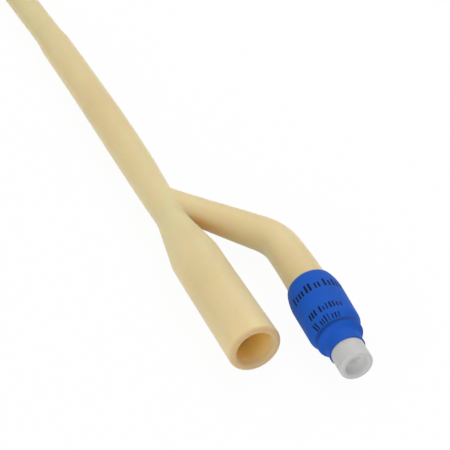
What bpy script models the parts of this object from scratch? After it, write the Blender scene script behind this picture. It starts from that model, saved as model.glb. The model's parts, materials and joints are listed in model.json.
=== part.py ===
"""Two-way balloon catheter, 24 French, lying on a flat surface.

The drainage funnel opens towards -Y and the shaft runs back towards +Y, to its
rounded tip. The inflation arm branches off towards +X and ends in a colour-coded
sleeve and a sprung valve with a Luer socket. +Z is up and the surface is Z = 0.
Distances along a tube are measured on its centreline.
"""
import math

import bmesh
import bpy
from mathutils import Matrix, Vector

MM = 0.001

# Clearances
GAP = 0.3 * MM              # between pieces that touch
FILM_GAP = 0.2 * MM         # under the thin sleeve and the balloon

# Shaft
TOTAL_LENGTH = 400.0 * MM
SHAFT_DIAMETER = 8.0 * MM
DRAIN_DIAMETER = 4.5 * MM
INFLATION_DIAMETER = 0.9 * MM
TIP_LENGTH = 6.0 * MM       # rounded end
TIP_WALL = 2.0 * MM         # solid rubber in front of the drainage lumen

# Drainage funnel
MOUTH_DIAMETER = 14.2 * MM
MOUTH_BORE = 9.4 * MM
RIM_OUTER_ROUND = 1.0 * MM
RIM_INNER_ROUND = 0.5 * MM
SHOULDER_DIAMETER = 13.4 * MM
SHOULDER_BORE = 8.0 * MM
FUNNEL_LENGTH = 37.6 * MM       # mouth to shoulder
FUNNEL_STRAIGHT = 28.0 * MM     # mouth to where the line starts to turn
CONE_DIAMETER = 8.4 * MM
CONE_LENGTH = 15.8 * MM         # shoulder to the cone's small end
NECK_LENGTH = 3.6 * MM          # the cone's small end to the trunk

# Trunk: the thicker stretch between the Y and the shaft
NECK_DIAMETER = 8.0 * MM
TRUNK_DIAMETER = 9.6 * MM
TRUNK_SWELL = 36.0 * MM     # neck to the thickest place
TRUNK_LENGTH = 87.0 * MM    # neck to the step
TRUNK_END_DIAMETER = 9.0 * MM
STEP_LENGTH = 8.4 * MM      # trunk to shaft

# Route of the trunk and shaft, seen from above
Y_TURN = math.radians(2.0)          # the trunk leans away from the funnel's line
Y_TURN_LENGTH = 38.0 * MM
SHAFT_BEND_RADIUS = 1280.0 * MM     # slow bend back towards -X

# Inflation arm: distances from the Y
BRANCH_POINT = 65.5 * MM            # on the main line, from the mouth
BRANCH_ANGLE = math.radians(38.7)
ARM_ROOT_DIAMETER = 7.0 * MM
ARM_BEND_DIAMETER = 9.5 * MM
ARM_STRAIGHT = 32.0 * MM            # Y to the bend
ARM_BEND = math.radians(36.0)
ARM_BEND_LENGTH = 9.0 * MM
ARM_SWEEP = math.radians(4.4)       # slow bend that follows
ARM_SWEEP_LENGTH = 16.7 * MM
ARM_LUMEN = 3.0 * MM
LUMEN_TAPER_LENGTH = 8.0 * MM
LUMEN_TURN = 2.0 * MM               # from the arm into the trunk's wall
CUFF_DIAMETER = 13.3 * MM           # rubber stretched over the valve
CUFF_NOSE_DIAMETER = 13.0 * MM
CUFF_ROOT_DIAMETER = 10.8 * MM
CUFF_SHOULDER = 2.6 * MM            # rounded end of the cuff
CUFF_LENGTH = 13.6 * MM             # cuff's end to where it narrows
CUFF_TAPER = 6.4 * MM

# Sleeve and valve housing: depths behind the valve's mouth
SLEEVE_FRONT = 5.9 * MM
SLEEVE_LENGTH = 24.5 * MM
FILM = 0.3 * MM
VALVE_DIAMETER = 8.9 * MM
VALVE_MOUTH = 6.2 * MM
VALVE_EDGE_ROUND = 0.35 * MM
LEAD_IN = 1.4 * MM
LUER_DIAMETER = 4.3 * MM
LUER_TAPER = 0.06
LUER_LENGTH = 7.5 * MM
THROAT_DIAMETER = 3.2 * MM
THROAT_LENGTH = 1.0 * MM
CHAMBER_DIAMETER = 6.2 * MM
COLLAR_FRONT = 9.8 * MM
COLLAR_LENGTH = 1.5 * MM
COLLAR_DIAMETER = 11.6 * MM
COLLAR_ROUND = 1.1 * MM
WAIST_DIAMETER = 11.0 * MM          # between the collar and the cuff
STEM_DIAMETER = 8.0 * MM

# Valve's inner pieces
PLUNGER_TIP = 5.6 * MM              # depth of the plunger's tip
PLUNGER_DIAMETER = 2.3 * MM
GUIDE_LENGTH = 2.4 * MM
DISC_DIAMETER = 5.0 * MM
DISC_THICKNESS = 1.0 * MM
SEAL_THICKNESS = 1.0 * MM
SPRING_LENGTH = 5.4 * MM
SPRING_DIAMETER = 4.2 * MM
SPRING_WIRE = 0.4 * MM
SPRING_TURNS = 5
TAIL_SPIGOT = 1.1 * MM
TAIL_FLANGE = 1.4 * MM
TAIL_LENGTH = 6.0 * MM
TAIL_BORE = 1.6 * MM
TAIL_BARB_DIAMETER = 4.4 * MM
TAIL_BARB_DEPTH = 0.6 * MM

# Balloon and drainage eyes: distances from the tip
BALLOON_FRONT = 28.0 * MM
BALLOON_LENGTH = 26.0 * MM
BALLOON_WALL = 0.35 * MM
SEAT_DEPTH = 0.25 * MM
PORT_DIAMETER = 0.8 * MM
EYE_FROM_TIP = (12.0 * MM, 19.0 * MM)
EYE_WIDTH = 2.8 * MM
EYE_LENGTH = 5.0 * MM

# Where the shaft lies on the surface
SETTLE_LENGTH = 20.0 * MM           # it comes down after the trunk
LIFT_LENGTH = 30.0 * MM             # it rises onto the balloon

# Facets round a tube
OUTER_SIDES = 24
LUMEN_SIDES = 16
FINE_SIDES = 8
TURNED_SIDES = 32
SPRING_STEPS = 12                   # rings in one turn of the spring

# Spacing of the rings along a tube
SHAFT_STEP = 16.0 * MM
TRUNK_STEP = 10.0 * MM
SWEEP_STEP = 4.0 * MM
TAPER_STEP = 1.8 * MM
BEND_STEP = 1.3 * MM
ROUND_STEP = 0.8 * MM

# Mesh limits
NEAR = 0.02 * MM                    # rings closer than this are one ring
WELD = 0.001 * MM                   # points closer than this are one point
SHARP = math.radians(35.0)          # edges sharper than this stay sharp


def clear_scene():
    """Remove every object, so that the model stands alone."""
    for thing in list(bpy.data.objects):
        bpy.data.objects.remove(thing, do_unlink=True)


def new_collection(name):
    """A collection linked to the scene."""
    collection = bpy.data.collections.new(name)
    bpy.context.scene.collection.children.link(collection)
    return collection


def material(name, color, roughness, metallic=0.0):
    """A Principled material with a plain colour."""
    made = bpy.data.materials.new(name)
    made.use_nodes = True
    shader = made.node_tree.nodes["Principled BSDF"]
    shader.inputs["Base Color"].default_value = (*color, 1.0)
    shader.inputs["Roughness"].default_value = roughness
    shader.inputs["Metallic"].default_value = metallic
    return made


# Ways from one size to the next, for a share of the distance from 0 to 1

def line(share):
    """Straight."""
    return share


def ease(share):
    """Level at both ends."""
    return share * share * (3.0 - 2.0 * share)


def rise(share):
    """Steep at first, as round an edge."""
    return math.sqrt(1.0 - (1.0 - share) ** 2)


def fall(share):
    """Steep at the end, as round a tip."""
    return 1.0 - math.sqrt(1.0 - share ** 2)


def steepen(share):
    """Level at first, then more and more of a slope."""
    return share ** 2


def flatten(share):
    """A slope at first, then level."""
    return 1.0 - (1.0 - share) ** 2


def profile_at(stations, distance):
    """Value at a distance between (distance, value, way there) stations."""
    if distance <= stations[0][0]:
        return stations[0][1]
    for (start, first, _), (end, second, way) in zip(stations, stations[1:]):
        if distance <= end:
            share = min((distance - start) / (end - start), 1.0)
            return first + (second - first) * way(share)
    return stations[-1][1]


def steps(start, end, spacing):
    """Evenly spaced distances from start to end, both included."""
    count = max(1, math.ceil((end - start) / spacing - 1e-6))
    return [start + (end - start) * index / count for index in range(count + 1)]


def edge_steps(start, end, count=4):
    """Distances from start to end that crowd at the start, as round an edge."""
    angles = [math.pi / 2 * index / count for index in range(count + 1)]
    return [start + (end - start) * (1.0 - math.cos(angle)) for angle in angles]


def tip_steps(start, end, count=7):
    """Distances that crowd at the end, round a tip, and stop just short of it."""
    angles = [math.pi / 2 * index / (count + 0.5) for index in range(count + 1)]
    return [start + (end - start) * math.sin(angle) for angle in angles]


def in_order(*stretches):
    """One rising list of distances, without near doubles."""
    kept = []
    for distance in sorted(sum(stretches, [])):
        if not kept or distance - kept[-1] > NEAR:
            kept.append(distance)
    return kept


class Route:
    """A line seen from above, made of legs: each a length and a turn to the right."""

    def __init__(self, start, heading, legs):
        self.start = Vector(start)
        self.heading = heading
        self.legs = legs

    def at(self, distance):
        """Position (x, y) and heading; past the last leg it runs on straight."""
        here = self.start.copy()
        heading = self.heading
        for length, turn in self.legs:
            step = min(distance, length)
            part = turn * step / length
            chord = step
            if part:
                chord = step * math.sin(part / 2.0) / (part / 2.0)
            middle = heading + part / 2.0
            here += chord * Vector((math.sin(middle), math.cos(middle)))
            heading += part
            distance -= step
            if distance <= 0.0:
                return here, heading
        here += distance * Vector((math.sin(heading), math.cos(heading)))
        return here, heading


# Main line: funnel, trunk and shaft, from the mouth

CONE_END = FUNNEL_LENGTH + CONE_LENGTH
NECK_END = CONE_END + NECK_LENGTH
TRUNK_END = NECK_END + TRUNK_LENGTH
SHAFT_START = TRUNK_END + STEP_LENGTH
SEAT_START = TOTAL_LENGTH - BALLOON_FRONT - BALLOON_LENGTH
SEAT_END = TOTAL_LENGTH - BALLOON_FRONT
TIP_START = TOTAL_LENGTH - TIP_LENGTH
LUMEN_END = TOTAL_LENGTH - TIP_WALL
BULLET_START = LUMEN_END - DRAIN_DIAMETER / 2
BEND_LENGTH = TOTAL_LENGTH - FUNNEL_STRAIGHT - Y_TURN_LENGTH

MAIN_ROUTE = Route((0.0, 0.0), 0.0, [
    (FUNNEL_STRAIGHT, 0.0),
    (Y_TURN_LENGTH, Y_TURN),
    (BEND_LENGTH, -BEND_LENGTH / SHAFT_BEND_RADIUS),
])

SHAFT_RADIUS = SHAFT_DIAMETER / 2
SEAT_RADIUS = SHAFT_RADIUS - SEAT_DEPTH
BALLOON_INNER = SEAT_RADIUS + FILM_GAP
BALLOON_OUTER = BALLOON_INNER + BALLOON_WALL

MAIN_RADIUS = [
    (0.0, MOUTH_DIAMETER / 2 - RIM_OUTER_ROUND, line),
    (RIM_OUTER_ROUND, MOUTH_DIAMETER / 2, rise),
    (FUNNEL_LENGTH, SHOULDER_DIAMETER / 2, line),
    (CONE_END, CONE_DIAMETER / 2, line),
    (NECK_END, NECK_DIAMETER / 2, flatten),
    (NECK_END + TRUNK_SWELL, TRUNK_DIAMETER / 2, flatten),
    (TRUNK_END, TRUNK_END_DIAMETER / 2, ease),
    (SHAFT_START, SHAFT_RADIUS, ease),
    (SEAT_START, SHAFT_RADIUS, line),
    (SEAT_START + SEAT_DEPTH, SEAT_RADIUS, line),
    (SEAT_END - SEAT_DEPTH, SEAT_RADIUS, line),
    (SEAT_END, SHAFT_RADIUS, line),
    (TIP_START, SHAFT_RADIUS, line),
    (TOTAL_LENGTH, 0.0, fall),
]

BORE_RADIUS = [
    (0.0, MOUTH_BORE / 2 + RIM_INNER_ROUND, line),
    (RIM_INNER_ROUND, MOUTH_BORE / 2, rise),
    (FUNNEL_LENGTH, SHOULDER_BORE / 2, line),
    (NECK_END, DRAIN_DIAMETER / 2, ease),
    (BULLET_START, DRAIN_DIAMETER / 2, line),
    (LUMEN_END, 0.0, fall),
]

# Height of the centreline: funnel, shaft and balloon lie on the surface
MAIN_HEIGHT = [
    (0.0, MOUTH_DIAMETER / 2, line),
    (FUNNEL_LENGTH, SHOULDER_DIAMETER / 2, line),
    (TRUNK_END, TRUNK_END_DIAMETER / 2, ease),
    (SHAFT_START + SETTLE_LENGTH, SHAFT_RADIUS, ease),
    (SEAT_START - LIFT_LENGTH, SHAFT_RADIUS, line),
    (SEAT_START, BALLOON_OUTER, ease),
]


def main_point(distance, aside=0.0):
    """Point on the main line, or beside it towards +X."""
    (x, y), heading = MAIN_ROUTE.at(distance)
    height = profile_at(MAIN_HEIGHT, distance)
    return Vector((x + aside * math.cos(heading), y - aside * math.sin(heading), height))


# Rubber and collar under the sleeve, by depth behind the valve's mouth

COLLAR_RADIUS = COLLAR_DIAMETER / 2
COLLAR_BACK = COLLAR_FRONT + COLLAR_LENGTH
CUFF_FRONT = COLLAR_BACK + GAP
CUFF_BACK = CUFF_FRONT + CUFF_LENGTH
CUFF_END = CUFF_BACK + CUFF_TAPER
SLEEVE_BACK = SLEEVE_FRONT + SLEEVE_LENGTH

UNDER_SLEEVE = [
    (COLLAR_FRONT, VALVE_DIAMETER / 2, line),
    (COLLAR_FRONT + COLLAR_ROUND, COLLAR_RADIUS, rise),
    (COLLAR_BACK, WAIST_DIAMETER / 2, ease),
    (CUFF_FRONT, WAIST_DIAMETER / 2, line),
    (CUFF_FRONT + CUFF_SHOULDER, CUFF_NOSE_DIAMETER / 2, ease),
    (CUFF_BACK, CUFF_DIAMETER / 2, line),
    (CUFF_END, CUFF_ROOT_DIAMETER / 2, steepen),
]

# Inflation arm, from the Y

ARM_CURVED = ARM_STRAIGHT + ARM_BEND_LENGTH + ARM_SWEEP_LENGTH
VALVE_FROM_Y = ARM_CURVED + SLEEVE_BACK
ARM_LENGTH = VALVE_FROM_Y - CUFF_FRONT
BRANCH_PLACE, BRANCH_HEADING = MAIN_ROUTE.at(BRANCH_POINT)

ARM_ROUTE = Route(BRANCH_PLACE, BRANCH_HEADING + math.pi - BRANCH_ANGLE, [
    (ARM_STRAIGHT, 0.0),
    (ARM_BEND_LENGTH, ARM_BEND),
    (ARM_SWEEP_LENGTH, ARM_SWEEP),
])

ARM_RADIUS = [
    (0.0, min(ARM_ROOT_DIAMETER / 2, profile_at(MAIN_RADIUS, BRANCH_POINT) - GAP), line),
    (ARM_STRAIGHT, ARM_BEND_DIAMETER / 2, line),
    (VALVE_FROM_Y - CUFF_END, CUFF_ROOT_DIAMETER / 2, line),
]

# The arm leaves the trunk at its height, and the sleeve lies on the surface
ARM_HEIGHT = [
    (0.0, profile_at(MAIN_HEIGHT, BRANCH_POINT), line),
    (ARM_CURVED, CUFF_DIAMETER / 2 + FILM_GAP + FILM, ease),
]


def arm_point(distance):
    """Point on the arm's centreline."""
    (x, y), _ = ARM_ROUTE.at(distance)
    return Vector((x, y, profile_at(ARM_HEIGHT, distance)))


def arm_radius(distance):
    """Outer radius of the arm, from its root to the end of the cuff."""
    depth = VALVE_FROM_Y - distance
    if depth <= CUFF_END:
        return profile_at(UNDER_SLEEVE, depth)
    return profile_at(ARM_RADIUS, distance)


# Valve, by depth behind its mouth

LUER_END = LEAD_IN + LUER_LENGTH
SEAT_FACE = LUER_END + THROAT_LENGTH
SEAL_FRONT = SEAT_FACE + GAP
SEAL_BACK = SEAL_FRONT + SEAL_THICKNESS
DISC_FRONT = SEAL_BACK + GAP
DISC_BACK = DISC_FRONT + DISC_THICKNESS
SPRING_FRONT = DISC_BACK + GAP
SPRING_BACK = SPRING_FRONT + SPRING_LENGTH
SPIGOT_FRONT = SPRING_BACK + GAP
CHAMBER_END = SPIGOT_FRONT + TAIL_SPIGOT
FLANGE_FRONT = CHAMBER_END + GAP
FLANGE_BACK = FLANGE_FRONT + TAIL_FLANGE
TAIL_BACK = FLANGE_BACK + TAIL_LENGTH


# Makers of shapes

def mesh_from_curve(name, curve, collection):
    """The curve's evaluated surface as a mesh object with welded caps."""
    guide = bpy.data.objects.new(name + "_curve", curve)
    collection.objects.link(guide)
    bpy.context.view_layer.update()
    evaluated = guide.evaluated_get(bpy.context.evaluated_depsgraph_get())
    mesh = bpy.data.meshes.new_from_object(evaluated)
    mesh.name = name
    made = bpy.data.objects.new(name, mesh)
    made.matrix_world = guide.matrix_world
    collection.objects.link(made)
    bpy.data.objects.remove(guide, do_unlink=True)
    weld = bmesh.new()
    weld.from_mesh(mesh)
    bmesh.ops.remove_doubles(weld, verts=weld.verts, dist=WELD)
    bmesh.ops.recalc_face_normals(weld, faces=weld.faces)
    weld.to_mesh(mesh)
    weld.free()
    return made


def tube(name, stations, sides, collection):
    """A closed tube through (point, radius) stations, as a mesh object."""
    curve = bpy.data.curves.new(name, 'CURVE')
    curve.dimensions = '3D'
    curve.twist_mode = 'Z_UP'
    curve.bevel_depth = MM
    curve.bevel_resolution = sides // 2 - 2
    curve.use_fill_caps = True
    spline = curve.splines.new('POLY')
    spline.points.add(len(stations) - 1)
    for point, (place, radius) in zip(spline.points, stations):
        point.co = (*place, 1.0)
        point.radius = radius / MM
    return mesh_from_curve(name, curve, collection)


def turned(name, profile, collection, closed=True):
    """A (radius, depth) profile turned round the valve's axis, outer side first."""
    mesh = bpy.data.meshes.new(name)
    points = [(radius, 0.0, -depth) for radius, depth in profile]
    edges = [(index, index + 1) for index in range(len(points) - 1)]
    if closed:
        edges.append((len(points) - 1, 0))
    mesh.from_pydata(points, edges, [])
    made = bpy.data.objects.new(name, mesh)
    collection.objects.link(made)
    screw = made.modifiers.new("turn", 'SCREW')
    screw.axis = 'Z'
    screw.angle = 2.0 * math.pi
    screw.steps = TURNED_SIDES
    screw.render_steps = TURNED_SIDES
    screw.use_merge_vertices = True
    screw.merge_threshold = WELD
    screw.use_smooth_shade = True
    return made


def cut(target, tool, operation='DIFFERENCE'):
    """Cut a tool out of the target, or join it on."""
    step = target.modifiers.new(tool.name, 'BOOLEAN')
    step.operation = operation
    step.solver = 'EXACT'
    step.object = tool
    tool.hide_render = True
    tool.display_type = 'WIRE'


def finish(thing, skin):
    """Give a piece its material and smooth round faces."""
    thing.data.materials.clear()
    thing.data.materials.append(skin)
    if thing.data.polygons:
        thing.data.shade_smooth()
        thing.data.set_sharp_from_angle(angle=SHARP)
    return thing


# Latex body

def body_outline(parts):
    """Funnel, trunk and shaft in one tube, with a rounded rim and tip."""
    places = in_order(
        edge_steps(0.0, RIM_OUTER_ROUND),
        steps(RIM_OUTER_ROUND, FUNNEL_LENGTH, TRUNK_STEP),
        steps(FUNNEL_LENGTH, CONE_END, SWEEP_STEP),
        steps(CONE_END, NECK_END, TAPER_STEP),
        steps(NECK_END, TRUNK_END, TRUNK_STEP),
        steps(TRUNK_END, SHAFT_START, TAPER_STEP),
        steps(SHAFT_START, SEAT_START, SHAFT_STEP),
        [SEAT_START + SEAT_DEPTH, SEAT_END - SEAT_DEPTH, SEAT_END],
        tip_steps(TIP_START, TOTAL_LENGTH))
    stations = [(main_point(place), profile_at(MAIN_RADIUS, place)) for place in places]
    return tube("catheter_body", stations, OUTER_SIDES, parts)


def arm_outline(cutters):
    """The inflation arm, from inside the trunk to the end of its cuff."""
    taper_start = VALVE_FROM_Y - CUFF_END
    taper_end = VALVE_FROM_Y - CUFF_BACK
    shoulder = ARM_LENGTH - CUFF_SHOULDER
    places = in_order(
        steps(0.0, ARM_STRAIGHT, TRUNK_STEP),
        steps(ARM_STRAIGHT, ARM_STRAIGHT + ARM_BEND_LENGTH, BEND_STEP),
        steps(ARM_STRAIGHT + ARM_BEND_LENGTH, ARM_CURVED, SWEEP_STEP),
        steps(taper_start, taper_end, ROUND_STEP),
        steps(shoulder, ARM_LENGTH, ROUND_STEP))
    stations = [(arm_point(place), arm_radius(place)) for place in places]
    return tube("arm_outline", stations, OUTER_SIDES, cutters)


def drain_cutter(cutters):
    """The funnel's tapered bore and the drainage lumen, with a rounded far end."""
    places = in_order(
        edge_steps(0.0, RIM_INNER_ROUND, 3),
        steps(RIM_INNER_ROUND, FUNNEL_LENGTH, TRUNK_STEP),
        steps(FUNNEL_LENGTH, NECK_END, SWEEP_STEP),
        steps(NECK_END, BULLET_START, SHAFT_STEP),
        tip_steps(BULLET_START, LUMEN_END, 3))
    stations = [(main_point(place), profile_at(BORE_RADIUS, place)) for place in places]
    before_mouth = (main_point(0.0) - Vector((0.0, GAP, 0.0)), stations[0][1])
    return tube("drain_cutter", [before_mouth] + stations, OUTER_SIDES, cutters)


def lumen_aside():
    """How far the inflation lumen runs beside the centreline: in mid-wall."""
    return (DRAIN_DIAMETER + SHAFT_DIAMETER) / 4


def inflation_cutter(cutters):
    """Valve seat, arm lumen and the fine lumen in the shaft's wall, in one passage."""
    stem = STEM_DIAMETER / 2 + GAP
    barb = TAIL_BARB_DIAMETER / 2 + GAP
    wide = ARM_LUMEN / 2
    fine = INFLATION_DIAMETER / 2
    stem_end = VALVE_FROM_Y - FLANGE_BACK - GAP
    tail_end = VALVE_FROM_Y - TAIL_BACK - GAP
    root = lumen_aside() / math.sin(BRANCH_ANGLE) + LUMEN_TURN
    line_in = [(ARM_LENGTH + GAP, stem), (stem_end, stem), (stem_end - GAP, barb),
               (tail_end, barb), (tail_end - barb + wide - GAP, wide)]
    arm = [(place, wide) for place in in_order(
        steps(ARM_STRAIGHT, ARM_STRAIGHT + ARM_BEND_LENGTH, TAPER_STEP),
        steps(ARM_STRAIGHT + ARM_BEND_LENGTH, min(ARM_CURVED, line_in[-1][0] - GAP), SWEEP_STEP))]
    line_in += arm[::-1] + [(root + LUMEN_TAPER_LENGTH, wide), (root, fine)]
    passage = [(arm_point(place), radius) for place, radius in line_in]
    for place in steps(BRANCH_POINT + LUMEN_TURN / 2, SEAT_START + BALLOON_LENGTH / 2, SHAFT_STEP):
        passage.append((main_point(place, lumen_aside()), fine))
    return tube("inflation_cutter", passage, LUMEN_SIDES, cutters)


def radial_cutter(name, distance, side, width, length, inner, outer, cutters):
    """An oval post that stands out from the main line, towards +X or -X."""
    bpy.ops.mesh.primitive_cylinder_add(vertices=LUMEN_SIDES, radius=0.5, depth=1.0)
    post = bpy.context.object
    post.name = name
    for holder in list(post.users_collection):
        holder.objects.unlink(post)
    cutters.objects.link(post)
    _, heading = MAIN_ROUTE.at(distance)
    middle = main_point(distance, side * (inner + outer) / 2)
    turn = Matrix.Rotation(-heading, 4, 'Z') @ Matrix.Rotation(math.radians(90.0), 4, 'Y')
    size = Matrix.Diagonal((width, length, outer - inner, 1.0))
    post.matrix_world = Matrix.Translation(middle) @ turn @ size
    return post


def make_body(parts, cutters, skin):
    """The one-piece latex body: outer form, lumens, drainage eyes and port."""
    body = body_outline(parts)
    cut(body, arm_outline(cutters), 'UNION')
    cut(body, drain_cutter(cutters))
    cut(body, inflation_cutter(cutters))
    port_place = SEAT_START + BALLOON_LENGTH / 2 - PORT_DIAMETER
    cut(body, radial_cutter("port_cutter", port_place, 1.0, PORT_DIAMETER, PORT_DIAMETER,
                            lumen_aside(), SHAFT_RADIUS + GAP, cutters))
    for index, from_tip in enumerate(EYE_FROM_TIP):
        side = 1.0 if index % 2 == 0 else -1.0
        name = "eye_cutter_%d" % (index + 1)
        cut(body, radial_cutter(name, TOTAL_LENGTH - from_tip, side, EYE_WIDTH, EYE_LENGTH,
                                0.0, SHAFT_RADIUS + GAP, cutters))
    return finish(body, skin)


def make_balloon(parts, cutters, skin):
    """The deflated balloon: a thin latex tube with thinned ends on its seat."""
    start = SEAT_START + SEAT_DEPTH + GAP
    end = SEAT_END - SEAT_DEPTH - GAP
    thin_end = BALLOON_WALL / 2
    radii = [
        (start, BALLOON_OUTER - thin_end, line),
        (start + 2 * BALLOON_WALL, BALLOON_OUTER, line),
        (end - 2 * BALLOON_WALL, BALLOON_OUTER, line),
        (end, BALLOON_OUTER - thin_end, line),
    ]
    places = in_order(
        [start],
        steps(start + 2 * BALLOON_WALL, end - 2 * BALLOON_WALL, TRUNK_STEP),
        [end])
    outer = [(main_point(place), profile_at(radii, place)) for place in places]
    balloon = tube("balloon", outer, OUTER_SIDES, parts)
    inner = [(main_point(place), BALLOON_INNER) for place in [start - GAP] + places + [end + GAP]]
    cut(balloon, tube("balloon_cutter", inner, OUTER_SIDES, cutters))
    return finish(balloon, skin)


# Sleeve

def make_sleeve(parts, skin):
    """The thin colour-coded sleeve that clings to the cuff and the valve's collar."""
    lip = VALVE_DIAMETER / 2 + FILM_GAP
    dome = COLLAR_FRONT - FILM_GAP
    inner_side = [
        (SLEEVE_FRONT, lip, line),
        (dome, lip, line),
        (COLLAR_FRONT + COLLAR_ROUND, COLLAR_RADIUS + FILM_GAP, rise),
    ] + [(depth, radius + FILM_GAP, way) for depth, radius, way in UNDER_SLEEVE[2:]]
    depths = in_order(
        [SLEEVE_FRONT],
        edge_steps(dome, COLLAR_FRONT + COLLAR_ROUND, 5),
        [COLLAR_BACK],
        steps(CUFF_FRONT, CUFF_FRONT + CUFF_SHOULDER, ROUND_STEP),
        steps(CUFF_BACK, SLEEVE_BACK, ROUND_STEP))
    profile = [(profile_at(inner_side, depth), depth) for depth in depths]
    sleeve = turned("size_sleeve", profile, parts, closed=False)
    shell = sleeve.modifiers.new("film", 'SOLIDIFY')
    shell.thickness = FILM
    shell.offset = 1.0
    shell.use_even_offset = True
    return finish(sleeve, skin)


# Valve

def make_valve_body(parts, skin):
    """Valve housing: Luer socket, throat and seat, spring chamber, collar and stem."""
    outer = VALVE_DIAMETER / 2
    edge = VALVE_EDGE_ROUND
    stem = STEM_DIAMETER / 2
    chamber = CHAMBER_DIAMETER / 2
    throat = THROAT_DIAMETER / 2
    luer = LUER_DIAMETER / 2
    profile = [(outer - edge + edge * rise(depth / edge), depth) for depth in edge_steps(0.0, edge, 3)]
    profile += [(profile_at(UNDER_SLEEVE, depth), depth)
                for depth in edge_steps(COLLAR_FRONT, COLLAR_FRONT + COLLAR_ROUND)]
    profile += [
        (WAIST_DIAMETER / 2, COLLAR_BACK),
        (stem, COLLAR_BACK),
        (stem, CHAMBER_END),
        (chamber, CHAMBER_END),
        (chamber, SEAT_FACE),
        (throat, SEAT_FACE),
        (throat, LUER_END),
        (luer - LUER_TAPER * LUER_LENGTH / 2, LUER_END),
        (luer, LEAD_IN),
        (VALVE_MOUTH / 2, 0.0),
    ]
    return finish(turned("valve_body", profile, parts), skin)


def make_valve_tail(parts, skin):
    """Barbed end plug that closes the chamber and carries the spring."""
    spigot = CHAMBER_DIAMETER / 2 - GAP
    flange = STEM_DIAMETER / 2
    barb = TAIL_BARB_DIAMETER / 2
    neck = barb - TAIL_BARB_DEPTH
    barb_front = TAIL_BACK - TAIL_LENGTH / 3
    profile = [
        (spigot, SPIGOT_FRONT),
        (spigot, FLANGE_FRONT),
        (flange, FLANGE_FRONT),
        (flange, FLANGE_BACK),
        (neck, FLANGE_BACK),
        (neck, barb_front),
        (barb, barb_front),
        (neck, TAIL_BACK),
        (TAIL_BORE / 2, TAIL_BACK),
        (TAIL_BORE / 2, SPIGOT_FRONT),
    ]
    return finish(turned("valve_tail", profile, parts), skin)


def make_plunger(parts, skin):
    """Plunger: tip in the Luer socket, disc behind the seal, guide in the spring."""
    stem = PLUNGER_DIAMETER / 2
    disc = DISC_DIAMETER / 2
    guide = SPRING_DIAMETER / 2 - SPRING_WIRE / 2 - GAP
    bevel = stem / 3
    profile = [
        (0.0, PLUNGER_TIP),
        (stem - bevel, PLUNGER_TIP),
        (stem, PLUNGER_TIP + bevel),
        (stem, DISC_FRONT),
        (disc, DISC_FRONT),
        (disc, DISC_BACK),
        (guide, DISC_BACK),
        (guide, DISC_BACK + GUIDE_LENGTH),
        (0.0, DISC_BACK + GUIDE_LENGTH),
    ]
    return finish(turned("valve_plunger", profile, parts, closed=False), skin)


def make_seal(parts, skin):
    """Rubber washer round the plunger that shuts against the seat."""
    inner = PLUNGER_DIAMETER / 2 + GAP
    outer = DISC_DIAMETER / 2
    crown = SEAL_THICKNESS / 4
    profile = [
        (outer - crown, SEAL_FRONT),
        (outer, SEAL_FRONT + crown),
        (outer, SEAL_BACK),
        (inner, SEAL_BACK),
        (inner, SEAL_FRONT),
    ]
    return finish(turned("valve_seal", profile, parts), skin)


def make_spring(parts, skin):
    """Compression spring between the plunger's disc and the tail."""
    count = SPRING_TURNS * SPRING_STEPS
    wire = SPRING_WIRE / 2
    coil = SPRING_DIAMETER / 2
    pitch = (SPRING_LENGTH - SPRING_WIRE) / count
    stations = []
    for index in range(count + 1):
        angle = 2.0 * math.pi * index / SPRING_STEPS
        depth = SPRING_FRONT + wire + pitch * index
        place = Vector((coil * math.cos(angle), coil * math.sin(angle), -depth))
        stations.append((place, wire))
    return finish(tube("valve_spring", stations, FINE_SIDES, parts), skin)


# Assembly

def valve_axis(parts):
    """Empty at the valve's mouth, its Z axis along the valve and out of the mouth."""
    axis = bpy.data.objects.new("valve_axis", None)
    parts.objects.link(axis)
    place = arm_point(VALVE_FROM_Y)
    _, heading = ARM_ROUTE.at(VALVE_FROM_Y)
    turn = Matrix.Rotation(-heading, 4, 'Z') @ Matrix.Rotation(math.radians(-90.0), 4, 'X')
    axis.matrix_world = Matrix.Translation(place) @ turn
    return axis


def stand_on_origin(pieces, root):
    """Move the whole catheter so that the middle of its base is the origin."""
    bpy.context.view_layer.update()
    depsgraph = bpy.context.evaluated_depsgraph_get()
    corners = []
    for piece in pieces:
        mesh = piece.evaluated_get(depsgraph).data
        corners += [piece.matrix_world @ vertex.co for vertex in mesh.vertices]
    low = [min(corner[axis] for corner in corners) for axis in range(3)]
    high = [max(corner[axis] for corner in corners) for axis in range(3)]
    root.location = (-(low[0] + high[0]) / 2, -(low[1] + high[1]) / 2, -low[2])
    bpy.context.view_layer.update()


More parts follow.
